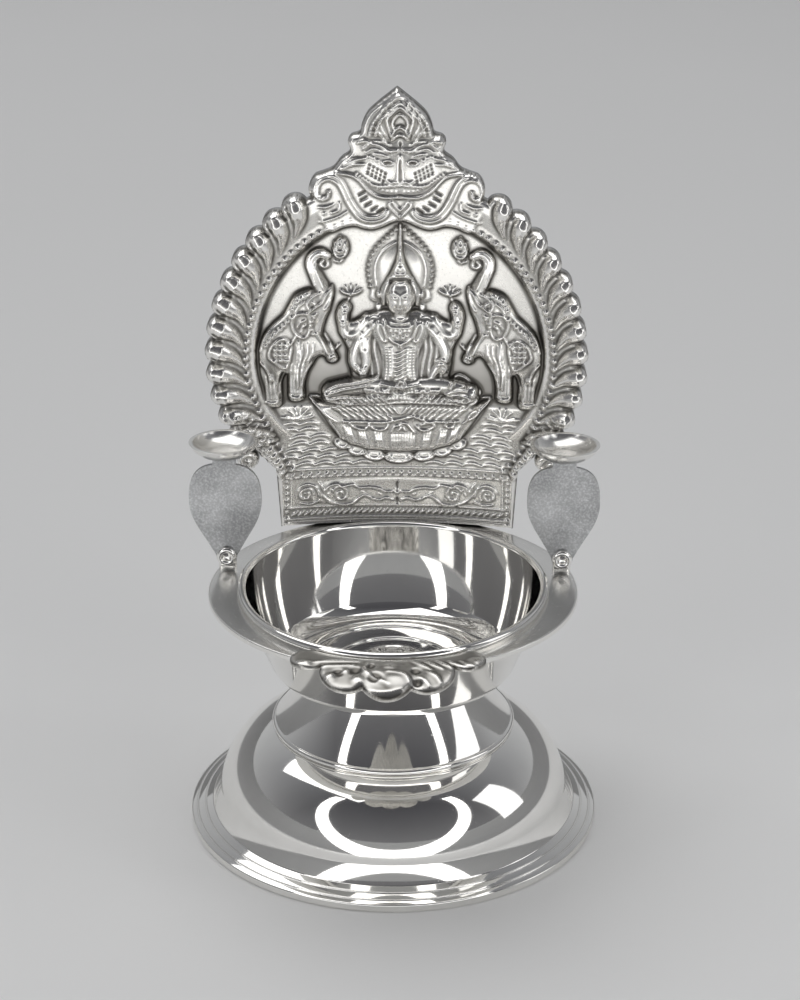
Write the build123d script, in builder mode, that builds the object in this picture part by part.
"""Silver aarti lamp: an oil bowl on a domed foot, with a relief back plate and two leaf arms.

Millimetres. The lamp stands on Z = 0 round the Z axis, and its front faces -Y.
"""
from build123d import *
import math
import os

# Foot: spun sheet, a stepped flat rim below a rounded dome
foot_radius = 18.5
foot_wall = 0.5
foot_edge_height = 0.7
foot_rim_width = 2.0
foot_rim_rise = 0.7
foot_step_height = 1.5
foot_step_batter = 0.7
foot_height = 8.9
foot_seat_radius = 10.75
dome_bulge = 1.1
rim_ridge_radius = 0.16
rim_ridge_insets = (0.55, 1.3)

# Neck collar: spun sheet, flared, with a rolled lip on the foot
neck_height = 5.1
neck_wall = 0.5
neck_top_radius = 7.6
neck_lip_overhang = 0.2
neck_lip_height = 0.6
neck_waist = 0.55

# Stud, washer and nut that hold the stack together
stud_radius = 1.5
stud_flange_radius = 4.0
stud_below_nut = 0.8
washer_radius = 4.5
washer_thickness = 0.5
nut_across_flats = 5.5
nut_thickness = 2.4
hole_clearance = 0.05

# Rim plate: flat ring round the bowl, with a lug for each arm
rim_plate_radius = 16.35
rim_plate_width = 2.9
rim_plate_thickness = 0.5
solder_gap = 0.03
lug_width = 2.0
lug_thickness = 0.5
lug_inset = 1.25

# Oil bowl: spun sheet with a rolled lip, two floor rings and a centre boss
bowl_floor_radius = 10.6
bowl_mouth_radius = rim_plate_radius - rim_plate_width
bowl_height = 8.0
bowl_wall = 0.4
bowl_lip_radius = 0.38
floor_ring_radii = (8.4, 5.6)
floor_ring_size = 0.3
boss_radius = 2.9
boss_height = 0.7

# Leaf arms, their rivets and their dishes
arm_x = rim_plate_radius - lug_inset
arm_y = 4.0
pivot_height = 1.25
leaf_thickness = 0.4
leaf_tip_radius = 0.95
leaf_width = 6.5
leaf_widest_height = 5.4
leaf_shoulder_height = 8.75
leaf_tab_width = 2.1
leaf_tab_height = 9.6
rivet_radius = 0.4
rivet_head_radius = 0.9
rivet_head_height = 0.45
rivet_tail_radius = 0.7
rivet_tail_height = 0.35
running_clearance = 0.03
side_clearance = 0.08
dish_radius = 3.1
dish_base_radius = 1.2
dish_depth = 1.3
dish_wall = 0.35

# Wick rest: stamped leaf on the front of the rim plate
wick_rest_thickness = 0.8
wick_rest_reach = 4.0
wick_rest_bend = 8.0
wick_rest_side = 6.5
wick_rest_lobe = 2.3
wick_rest_gap = 0.1

# Back plate: stamping bent to a gentle curve, open at the back, and its cover
plate_height = 41.5
plate_inset = 1.75
plate_ground_y = rim_plate_radius - plate_inset
plate_bend_radius = 45.0
plate_sheet = 0.5
cover_sheet = 0.4
pedestal_half_width = 10.9
arch_rise = 17.6
arch_radius = 16.1
field_radius = 12.8
lobe_count = 12
lobe_first_angle = 34.5
lobe_pitch_angle = 7.6
lobe_radius = 1.2
lobe_edge = 0.15
border_height = 1.1
border_wall = 0.6
crest_height = 1.3
crest_reach = 9.8
crest_half_width = 5.5
bud_height = 4.0
bud_half_width = 3.2
scroll_radius = 1.5
scroll_angle = 23.5
volute_radius = 0.95
volute_angle = 127.0

# Relief on the back plate: places from the arch's centre, heights in front of the ground
halo_radius = 3.3
halo_rise = 7.2
halo_height = 0.5
head_radius = 1.35
head_rise = 5.4
head_height = 1.1
crown_height = 4.8
shoulder_half_width = 3.2
shoulder_rise = 3.2
waist_half_width = 1.5
figure_height = 1.3
lap_half_width = 7.2
lap_drop = 3.9
lap_thickness = 2.2
lap_height = 1.7
seat_top_half_width = 8.0
seat_bottom_half_width = 4.2
seat_top_drop = 4.6
seat_height = 5.0
seat_relief = 1.4
elephant_place = 9.2
elephant_half_width = 3.2
elephant_half_height = 3.6
elephant_head_radius = 1.9
elephant_head_place = 7.4
elephant_head_rise = 3.0
trunk_width = 1.0
trunk_rise = 9.0
elephant_height = 0.9
water_relief = 0.3
band_thickness = 0.55
band_relief = 0.5
upper_band_rise = 5.4
lower_band_rise = 1.5

os.makedirs("parts", exist_ok=True)

# Levels that follow from the sizes above
neck_top = foot_height + neck_height
rim_level = neck_top + bowl_height
pivot_level = rim_level + pivot_height
leaf_top = pivot_level + leaf_tab_height
arch_level = rim_level + arch_rise
plate_top = rim_level + plate_height
plate_axis_y = plate_ground_y - plate_bend_radius


def keep(builder, name):
    """Label a finished piece and write it to its own file."""
    builder.part.label = name
    export_step(builder.part, f"parts/{name}.step")


def foot_section(inset):
    """Half section of the foot, drawn in from its outer skin by the sheet's thickness."""
    step_radius = foot_radius - foot_rim_width - inset
    dome_radius = step_radius - foot_step_batter
    rim_inner_level = foot_edge_height + foot_rim_rise - inset
    dome_level = rim_inner_level + foot_step_height
    seat = (foot_seat_radius - inset, foot_height - inset)
    run = Vector(seat[0] - dome_radius, seat[1] - dome_level)
    outward = Vector(run.Y, -run.X).normalized()
    middle = Vector(dome_radius, dome_level) + run / 2 + outward * dome_bulge
    with BuildSketch(Plane.XZ) as section:
        with BuildLine():
            Polyline(
                (0, 0),
                (foot_radius - inset, 0),
                (foot_radius - inset, foot_edge_height - inset / 2),
                (step_radius, rim_inner_level),
                (dome_radius, dome_level),
            )
            ThreePointArc((dome_radius, dome_level), (middle.X, middle.Y), seat)
            Polyline(seat, (0, seat[1]), (0, 0))
        make_face()
    return section.sketch


# Foot
with BuildPart() as foot:
    with BuildSketch(Plane.XZ):
        add(foot_section(0))
        add(foot_section(foot_wall), mode=Mode.SUBTRACT)
        for inset in rim_ridge_insets:
            ridge_level = foot_edge_height + foot_rim_rise * inset / foot_rim_width
            with Locations((foot_radius - inset, ridge_level)):
                Circle(rim_ridge_radius)
        Rectangle(2 * (stud_radius + hole_clearance), 2 * foot_height + 1, mode=Mode.SUBTRACT)
    revolve(axis=Axis.Z)
keep(foot, "foot")


def neck_section(inset):
    """Half section of the collar, drawn in from its outer skin by the sheet's thickness."""
    lip = foot_seat_radius + neck_lip_overhang - inset
    lip_root = lip - neck_lip_height / 2
    lip_top = foot_height + neck_lip_height
    top = neck_top - inset
    middle_radius = (lip_root + neck_top_radius - inset) / 2 - neck_waist
    middle_level = (lip_top + top) / 2 - neck_waist
    with BuildSketch(Plane.XZ) as section:
        with BuildLine():
            Line((0, foot_height), (lip_root, foot_height))
            ThreePointArc(
                (lip_root, foot_height),
                (lip, foot_height + neck_lip_height / 2),
                (lip_root, lip_top),
            )
            waist = (middle_radius, middle_level)
            ThreePointArc((lip_root, lip_top), waist, (neck_top_radius - inset, top))
            Polyline((neck_top_radius - inset, top), (0, top), (0, foot_height))
        make_face()
    return section.sketch


# Neck collar
with BuildPart() as neck_collar:
    with BuildSketch(Plane.XZ):
        add(neck_section(0))
        add(neck_section(neck_wall), mode=Mode.SUBTRACT)
        Rectangle(2 * (stud_flange_radius + hole_clearance), 2 * neck_top + 1, mode=Mode.SUBTRACT)
    revolve(axis=Axis.Z)
keep(neck_collar, "neck_collar")

# Stud, with its flange set into the top of the collar and soldered to the bowl
washer_top = foot_height - foot_wall
nut_top = washer_top - washer_thickness
stud_end = nut_top - nut_thickness - stud_below_nut
with BuildPart() as stem_stud:
    with BuildSketch(Plane.XY.offset(stud_end)):
        Circle(stud_radius)
    extrude(amount=neck_top - stud_end)
    with BuildSketch(Plane.XY.offset(neck_top)):
        Circle(stud_flange_radius)
    extrude(amount=-neck_wall)
    chamfer(stem_stud.faces().sort_by(Axis.Z)[0].edges(), stud_radius / 5)
keep(stem_stud, "stem_stud")

with BuildPart() as foot_washer:
    with BuildSketch(Plane.XY.offset(washer_top)):
        Circle(washer_radius)
        Circle(stud_radius + hole_clearance, mode=Mode.SUBTRACT)
    extrude(amount=-washer_thickness)
keep(foot_washer, "foot_washer")

with BuildPart() as foot_nut:
    with BuildSketch(Plane.XY.offset(nut_top)):
        RegularPolygon(nut_across_flats / 2, 6, major_radius=False)
        Circle(stud_radius + hole_clearance, mode=Mode.SUBTRACT)
    extrude(amount=-nut_thickness)
keep(foot_nut, "foot_nut")

# Oil bowl
floor_level = neck_top + bowl_wall
lip_level = rim_level + bowl_lip_radius
wall_slope = (bowl_mouth_radius - bowl_floor_radius) / bowl_height
lip_wall_radius = bowl_mouth_radius + wall_slope * bowl_lip_radius
boss_sphere = (boss_radius**2 + boss_height**2) / (2 * boss_height)
boss_turn = math.asin(boss_radius / boss_sphere) / 2
boss_side = (
    boss_sphere * math.sin(boss_turn),
    floor_level + boss_height - boss_sphere * (1 - math.cos(boss_turn)),
)
with BuildPart() as oil_bowl:
    with BuildSketch(Plane.XZ):
        with BuildLine():
            Polyline(
                (0, neck_top),
                (bowl_floor_radius - bowl_wall, neck_top),
                (bowl_floor_radius, neck_top + bowl_wall),
                (lip_wall_radius, lip_level),
                (lip_wall_radius - bowl_wall, lip_level),
                (bowl_floor_radius - bowl_wall, floor_level),
                (boss_radius, floor_level),
            )
            ThreePointArc((boss_radius, floor_level), boss_side, (0, floor_level + boss_height))
            Line((0, floor_level + boss_height), (0, neck_top))
        make_face()
        with Locations((lip_wall_radius - bowl_wall / 2, lip_level)):
            Circle(bowl_lip_radius)
        with Locations(*[(ring_radius, floor_level) for ring_radius in floor_ring_radii]):
            Circle(floor_ring_size)
    revolve(axis=Axis.Z)
keep(oil_bowl, "oil_bowl")

# Rim plate with its two lugs
lug_y = arm_y + leaf_thickness / 2 + side_clearance
with BuildPart() as rim_plate:
    with BuildSketch(Plane.XY.offset(rim_level)):
        Circle(rim_plate_radius)
        Circle(bowl_mouth_radius + solder_gap, mode=Mode.SUBTRACT)
    extrude(amount=-rim_plate_thickness)
    with BuildSketch(Plane.XZ.offset(-lug_y)):
        with Locations((-arm_x, pivot_level), (arm_x, pivot_level)):
            Circle(lug_width / 2)
        with Locations((-arm_x, rim_level), (arm_x, rim_level)):
            Rectangle(lug_width, pivot_height, align=(Align.CENTER, Align.MIN))
        with Locations((-arm_x, rim_level), (arm_x, rim_level)):
            Rectangle(lug_width, rim_plate_thickness / 2, align=(Align.CENTER, Align.MAX))
        with Locations((-arm_x, pivot_level), (arm_x, pivot_level)):
            Circle(rivet_radius + hole_clearance, mode=Mode.SUBTRACT)
    extrude(amount=-lug_thickness)
keep(rim_plate, "rim_plate")


def leaf_outline(x):
    """Leaf arm in the XZ plane: a teardrop on its rivet, with a tab up to the dish."""
    half_tab = leaf_tab_width / 2
    shoulder = pivot_level + leaf_shoulder_height
    with BuildSketch(Plane.XZ.offset(-arm_y - leaf_thickness / 2)) as outline:
        with BuildLine():
            right_side = Spline(
                (x + leaf_tip_radius, pivot_level),
                (x + leaf_width / 2, pivot_level + leaf_widest_height),
                (x + half_tab, shoulder),
                tangents=((0.5, 1), (0, 1), (-1, 0.15)),
            )
            left_side = Spline(
                (x - half_tab, shoulder),
                (x - leaf_width / 2, pivot_level + leaf_widest_height),
                (x - leaf_tip_radius, pivot_level),
                tangents=((-1, -0.15), (0, -1), (0.5, -1)),
            )
            Polyline(
                right_side @ 1,
                (x + half_tab, leaf_top),
                (x - half_tab, leaf_top),
                left_side @ 0,
            )
            ThreePointArc(left_side @ 1, (x, pivot_level - leaf_tip_radius), right_side @ 0)
        make_face()
        with Locations((x, pivot_level)):
            Circle(rivet_radius + running_clearance, mode=Mode.SUBTRACT)
    return outline.sketch


def make_leaf(x, name):
    with BuildPart() as leaf:
        extrude(leaf_outline(x), amount=leaf_thickness)
    keep(leaf, name)


def make_dish(x, name):
    """Shallow spun dish on the tab of its leaf."""
    rim = leaf_top + dish_depth
    mid_radius = dish_base_radius + (dish_radius - dish_base_radius) * 0.66
    mid_level = leaf_top + dish_depth * 0.36
    inner_mid_level = mid_level + dish_wall
    with BuildPart() as dish:
        with BuildSketch(Plane.XZ.offset(-arm_y)):
            with BuildLine():
                Line((x, leaf_top), (x + dish_base_radius, leaf_top))
                ThreePointArc(
                    (x + dish_base_radius, leaf_top),
                    (x + mid_radius, mid_level),
                    (x + dish_radius, rim),
                )
                Line((x + dish_radius, rim), (x + dish_radius - dish_wall, rim))
                ThreePointArc(
                    (x + dish_radius - dish_wall, rim),
                    (x + mid_radius - dish_wall / 2, inner_mid_level),
                    (x + dish_base_radius, leaf_top + dish_wall),
                )
                Polyline(
                    (x + dish_base_radius, leaf_top + dish_wall),
                    (x, leaf_top + dish_wall),
                    (x, leaf_top),
                )
            make_face()
        revolve(axis=Axis((x, arm_y, 0), (0, 0, 1)))
    keep(dish, name)


def make_rivet(x, name):
    """Domed rivet along Y through the leaf and its lug."""
    head_y = arm_y - leaf_thickness / 2 - side_clearance
    tail_y = lug_y + lug_thickness
    with BuildPart() as rivet:
        with BuildSketch(Plane.XZ.offset(-head_y)):
            with Locations((x, pivot_level)):
                Circle(rivet_radius)
        extrude(amount=head_y - tail_y)
        with BuildSketch(Plane.XZ.offset(-head_y)):
            with Locations((x, pivot_level)):
                Circle(rivet_head_radius)
        extrude(amount=rivet_head_height)
        fillet(rivet.faces().sort_by(Axis.Y)[0].edges(), rivet_head_height * 0.8)
        with BuildSketch(Plane.XZ.offset(-tail_y)):
            with Locations((x, pivot_level)):
                Circle(rivet_tail_radius)
        extrude(amount=-rivet_tail_height)
    keep(rivet, name)


# Leaf arms, dishes and rivets, left and right
for side_name, side_x in (("left", -arm_x), ("right", arm_x)):
    make_leaf(side_x, f"{side_name}_leaf")
    make_dish(side_x, f"{side_name}_dish")
    make_rivet(side_x, f"{side_name}_rivet")

# Wick rest: flat on the rim plate, bending down past its edge
lip_outer_radius = lip_wall_radius - bowl_wall / 2 + bowl_lip_radius
wick_edge_y = -rim_plate_radius
wick_top = rim_level + wick_rest_thickness
bend_level = rim_level - wick_rest_bend
bend_angle = math.degrees(math.asin(wick_rest_reach / (wick_rest_reach + wick_rest_bend))) + 15
side_lobe = 0.7 * wick_rest_lobe
with BuildPart() as wick_rest:
    with BuildSketch(Plane.XY.offset(bend_level)):
        with Locations((0, wick_edge_y - wick_rest_reach + wick_rest_lobe)):
            Circle(wick_rest_lobe)
        for side in (-1, 1):
            with Locations((side * wick_rest_side / 2, wick_edge_y - wick_rest_reach / 4)):
                Circle(wick_rest_lobe)
            with Locations((side * wick_rest_side, wick_edge_y + wick_rest_lobe / 2)):
                Circle(side_lobe)
        with Locations((0, wick_edge_y)):
            Rectangle(2 * wick_rest_side, wick_rest_lobe, align=(Align.CENTER, Align.MIN))
        Circle(lip_outer_radius + wick_rest_gap, mode=Mode.SUBTRACT)
    extrude(amount=2 * wick_rest_bend)
    with BuildSketch(Plane.YZ.offset(-rim_plate_radius)):
        with BuildLine():
            Polyline((wick_edge_y, rim_level), (0, rim_level), (0, wick_top), (wick_edge_y, wick_top))
            bend_centre = (wick_edge_y, bend_level)
            upper = CenterArc(bend_centre, wick_rest_bend + wick_rest_thickness, 90, bend_angle)
            lower = CenterArc(bend_centre, wick_rest_bend, 90, bend_angle)
            Line(upper @ 1, lower @ 1)
        make_face()
    extrude(amount=2 * rim_plate_radius, mode=Mode.INTERSECT)
keep(wick_rest, "wick_rest")


def on_arch(radius, angle):
    """Point at a radius and an angle from the top of the plate's arch, in the plate's face."""
    turn = math.radians(angle)
    return (radius * math.sin(turn), arch_level + radius * math.cos(turn))


def curved_slab(outline, back, front):
    """The bent plate's solid inside an outline, between two depths in front of its ground."""
    with BuildPart() as slab:
        extrude(outline, amount=plate_ground_y + plate_sheet + cover_sheet + 1, dir=(0, 1, 0))
        with Locations((0, plate_axis_y, arch_level)):
            Cylinder(plate_bend_radius - back, 2 * plate_height, mode=Mode.INTERSECT)
            Cylinder(plate_bend_radius - front, 2 * plate_height, mode=Mode.SUBTRACT)
    return slab.part


def plate_face_y(x, height):
    """Y of the bent plate at a sideways place and a height in front of its ground."""
    reach = plate_bend_radius - height
    return plate_axis_y + math.sqrt(reach * reach - x * x)


lobe_angles = [lobe_first_angle + i * lobe_pitch_angle for i in range(lobe_count)]
lobe_centres = [on_arch(arch_radius, side * angle) for angle in lobe_angles for side in (-1, 1)]
scroll_centres = [on_arch(arch_radius, side * scroll_angle) for side in (-1, 1)]
volute_centres = [on_arch(arch_radius + volute_radius / 2, side * volute_angle) for side in (-1, 1)]
crest_base = plate_top - crest_reach
bud_base = plate_top - bud_height
ear_level = bud_base - bud_half_width / 2

# Outlines in the plate's face
with BuildSketch(Plane.XZ) as crest_outline:
    with BuildLine():
        Polyline(
            (0, crest_base),
            (crest_half_width, crest_base),
            (crest_half_width, (crest_base + ear_level) / 2),
            (bud_half_width, ear_level),
            (bud_half_width, bud_base),
        )
        bud_shoulder = (bud_half_width * 0.72, bud_base + bud_height * 0.45)
        Spline((bud_half_width, bud_base), bud_shoulder, (0, plate_top))
        Line((0, plate_top), (0, crest_base))
    make_face()
    with Locations((bud_half_width, (bud_base + ear_level) / 2)):
        Circle(bud_half_width / 4)
    mirror(about=Plane.YZ)

with BuildSketch(Plane.XZ) as plate_outline:
    with Locations((0, arch_level)):
        Circle(arch_radius)
    with Locations((0, rim_level)):
        Rectangle(2 * pedestal_half_width, arch_rise, align=(Align.CENTER, Align.MIN))
    with Locations(*lobe_centres):
        Circle(lobe_radius)
    with Locations(*scroll_centres):
        Circle(scroll_radius)
    with Locations(*volute_centres):
        Circle(volute_radius)
    add(crest_outline.sketch)

border_bottom = arch_level + arch_radius * math.cos(math.radians(lobe_angles[-1]))
with BuildSketch(Plane.XZ) as border_outline:
    with Locations((0, arch_level)):
        Circle(arch_radius)
    with Locations(*lobe_centres):
        Circle(lobe_radius)
    with Locations((0, arch_level)):
        Circle(field_radius, mode=Mode.SUBTRACT)
    with Locations((0, border_bottom)):
        Rectangle(4 * arch_radius, arch_rise, align=(Align.CENTER, Align.MAX), mode=Mode.SUBTRACT)

with BuildSketch(Plane.XZ) as pocket_outline:
    with Locations((0, arch_level)):
        Circle(arch_radius - border_wall)
        Circle(field_radius + border_wall, mode=Mode.SUBTRACT)
    with Locations((0, border_bottom + border_wall)):
        Rectangle(4 * arch_radius, arch_rise, align=(Align.CENTER, Align.MAX), mode=Mode.SUBTRACT)

with BuildSketch(Plane.XZ) as scroll_outline:
    with Locations(*scroll_centres):
        Circle(scroll_radius)
    with Locations(*volute_centres):
        Circle(volute_radius)

with BuildSketch(Plane.XZ) as halo_outline:
    with Locations((0, arch_level + halo_rise)):
        Circle(halo_radius)

lap_level = arch_level - lap_drop
seat_top = arch_level - seat_top_drop
with BuildSketch(Plane.XZ) as figure_outline:
    with BuildLine():
        Polyline(
            (0, lap_level),
            (waist_half_width, lap_level),
            (waist_half_width, (lap_level + arch_level + shoulder_rise) / 2),
            (shoulder_half_width, arch_level),
            (shoulder_half_width, arch_level + shoulder_rise),
            (0, arch_level + head_rise),
            (0, lap_level),
        )
    make_face()
    mirror(about=Plane.YZ)

with BuildSketch(Plane.XZ) as lap_outline:
    with Locations((0, lap_level)):
        Ellipse(lap_half_width, lap_thickness / 2)

with BuildSketch(Plane.XZ) as seat_outline:
    with BuildLine():
        Polyline((0, seat_top), (seat_top_half_width, seat_top))
        ThreePointArc(
            (seat_top_half_width, seat_top),
            ((seat_top_half_width + seat_bottom_half_width) / 2, seat_top - seat_height * 0.7),
            (0, seat_top - seat_height),
        )
        Line((0, seat_top - seat_height), (0, seat_top))
    make_face()
    mirror(about=Plane.YZ)

with BuildSketch(Plane.XZ) as elephant_outline:
    with Locations((elephant_place, arch_level)):
        Ellipse(elephant_half_width, elephant_half_height)
    with Locations((elephant_place, arch_level)):
        Rectangle(1.6 * elephant_half_width, seat_top_drop, align=(Align.CENTER, Align.MAX))
    with Locations((elephant_head_place, arch_level + elephant_head_rise)):
        Circle(elephant_head_radius)
    with Locations((elephant_head_place, arch_level + elephant_head_rise)):
        Rectangle(trunk_width, trunk_rise - elephant_head_rise, align=(Align.CENTER, Align.MIN))
    with Locations((elephant_head_place - trunk_width, arch_level + trunk_rise)):
        Circle(trunk_width)
    mirror(about=Plane.YZ)

with BuildSketch(Plane.XZ) as water_outline:
    with Locations((0, arch_level)):
        Circle(field_radius)
    with Locations((0, seat_top)):
        Rectangle(4 * arch_radius, 2 * arch_radius, align=(Align.CENTER, Align.MIN), mode=Mode.SUBTRACT)
    with Locations((0, rim_level)):
        Rectangle(4 * arch_radius, upper_band_rise, align=(Align.CENTER, Align.MIN), mode=Mode.SUBTRACT)

with BuildSketch(Plane.XZ) as band_outline:
    with Locations((0, rim_level + upper_band_rise), (0, rim_level + lower_band_rise)):
        Rectangle(2 * (pedestal_half_width - band_thickness), band_thickness)

head_y = plate_face_y(0, head_height)
head_level = arch_level + head_rise
with BuildPart() as back_plate:
    add(curved_slab(plate_outline.sketch, -plate_sheet, 0))
    add(curved_slab(border_outline.sketch, -plate_sheet / 2, border_height))
    add(curved_slab(crest_outline.sketch, -plate_sheet / 2, crest_height))
    add(curved_slab(scroll_outline.sketch, -plate_sheet / 2, border_height + crest_height / 4))
    add(curved_slab(halo_outline.sketch, -plate_sheet / 2, halo_height))
    add(curved_slab(figure_outline.sketch, -plate_sheet / 2, figure_height))
    add(curved_slab(lap_outline.sketch, -plate_sheet / 2, lap_height))
    add(curved_slab(seat_outline.sketch, -plate_sheet / 2, seat_relief))
    add(curved_slab(elephant_outline.sketch, -plate_sheet / 2, elephant_height))
    add(curved_slab(water_outline.sketch, -plate_sheet / 2, water_relief))
    add(curved_slab(band_outline.sketch, -plate_sheet / 2, band_relief))
    with Locations((0, head_y, head_level)):
        Sphere(head_radius)
    with Locations((0, head_y, head_level)):
        Cone(head_radius, head_radius / 4, crown_height, align=(Align.CENTER, Align.CENTER, Align.MIN))
    with Locations(*[(x, plate_face_y(x, border_height), z) for x, z in lobe_centres]):
        Sphere(lobe_radius - lobe_edge)
    pocket = curved_slab(pocket_outline.sketch, -2 * plate_sheet, border_height - border_wall)
    add(pocket, mode=Mode.SUBTRACT)
keep(back_plate, "back_plate")

with BuildPart() as back_cover:
    add(curved_slab(plate_outline.sketch, -plate_sheet - cover_sheet, -plate_sheet))
keep(back_cover, "back_cover")
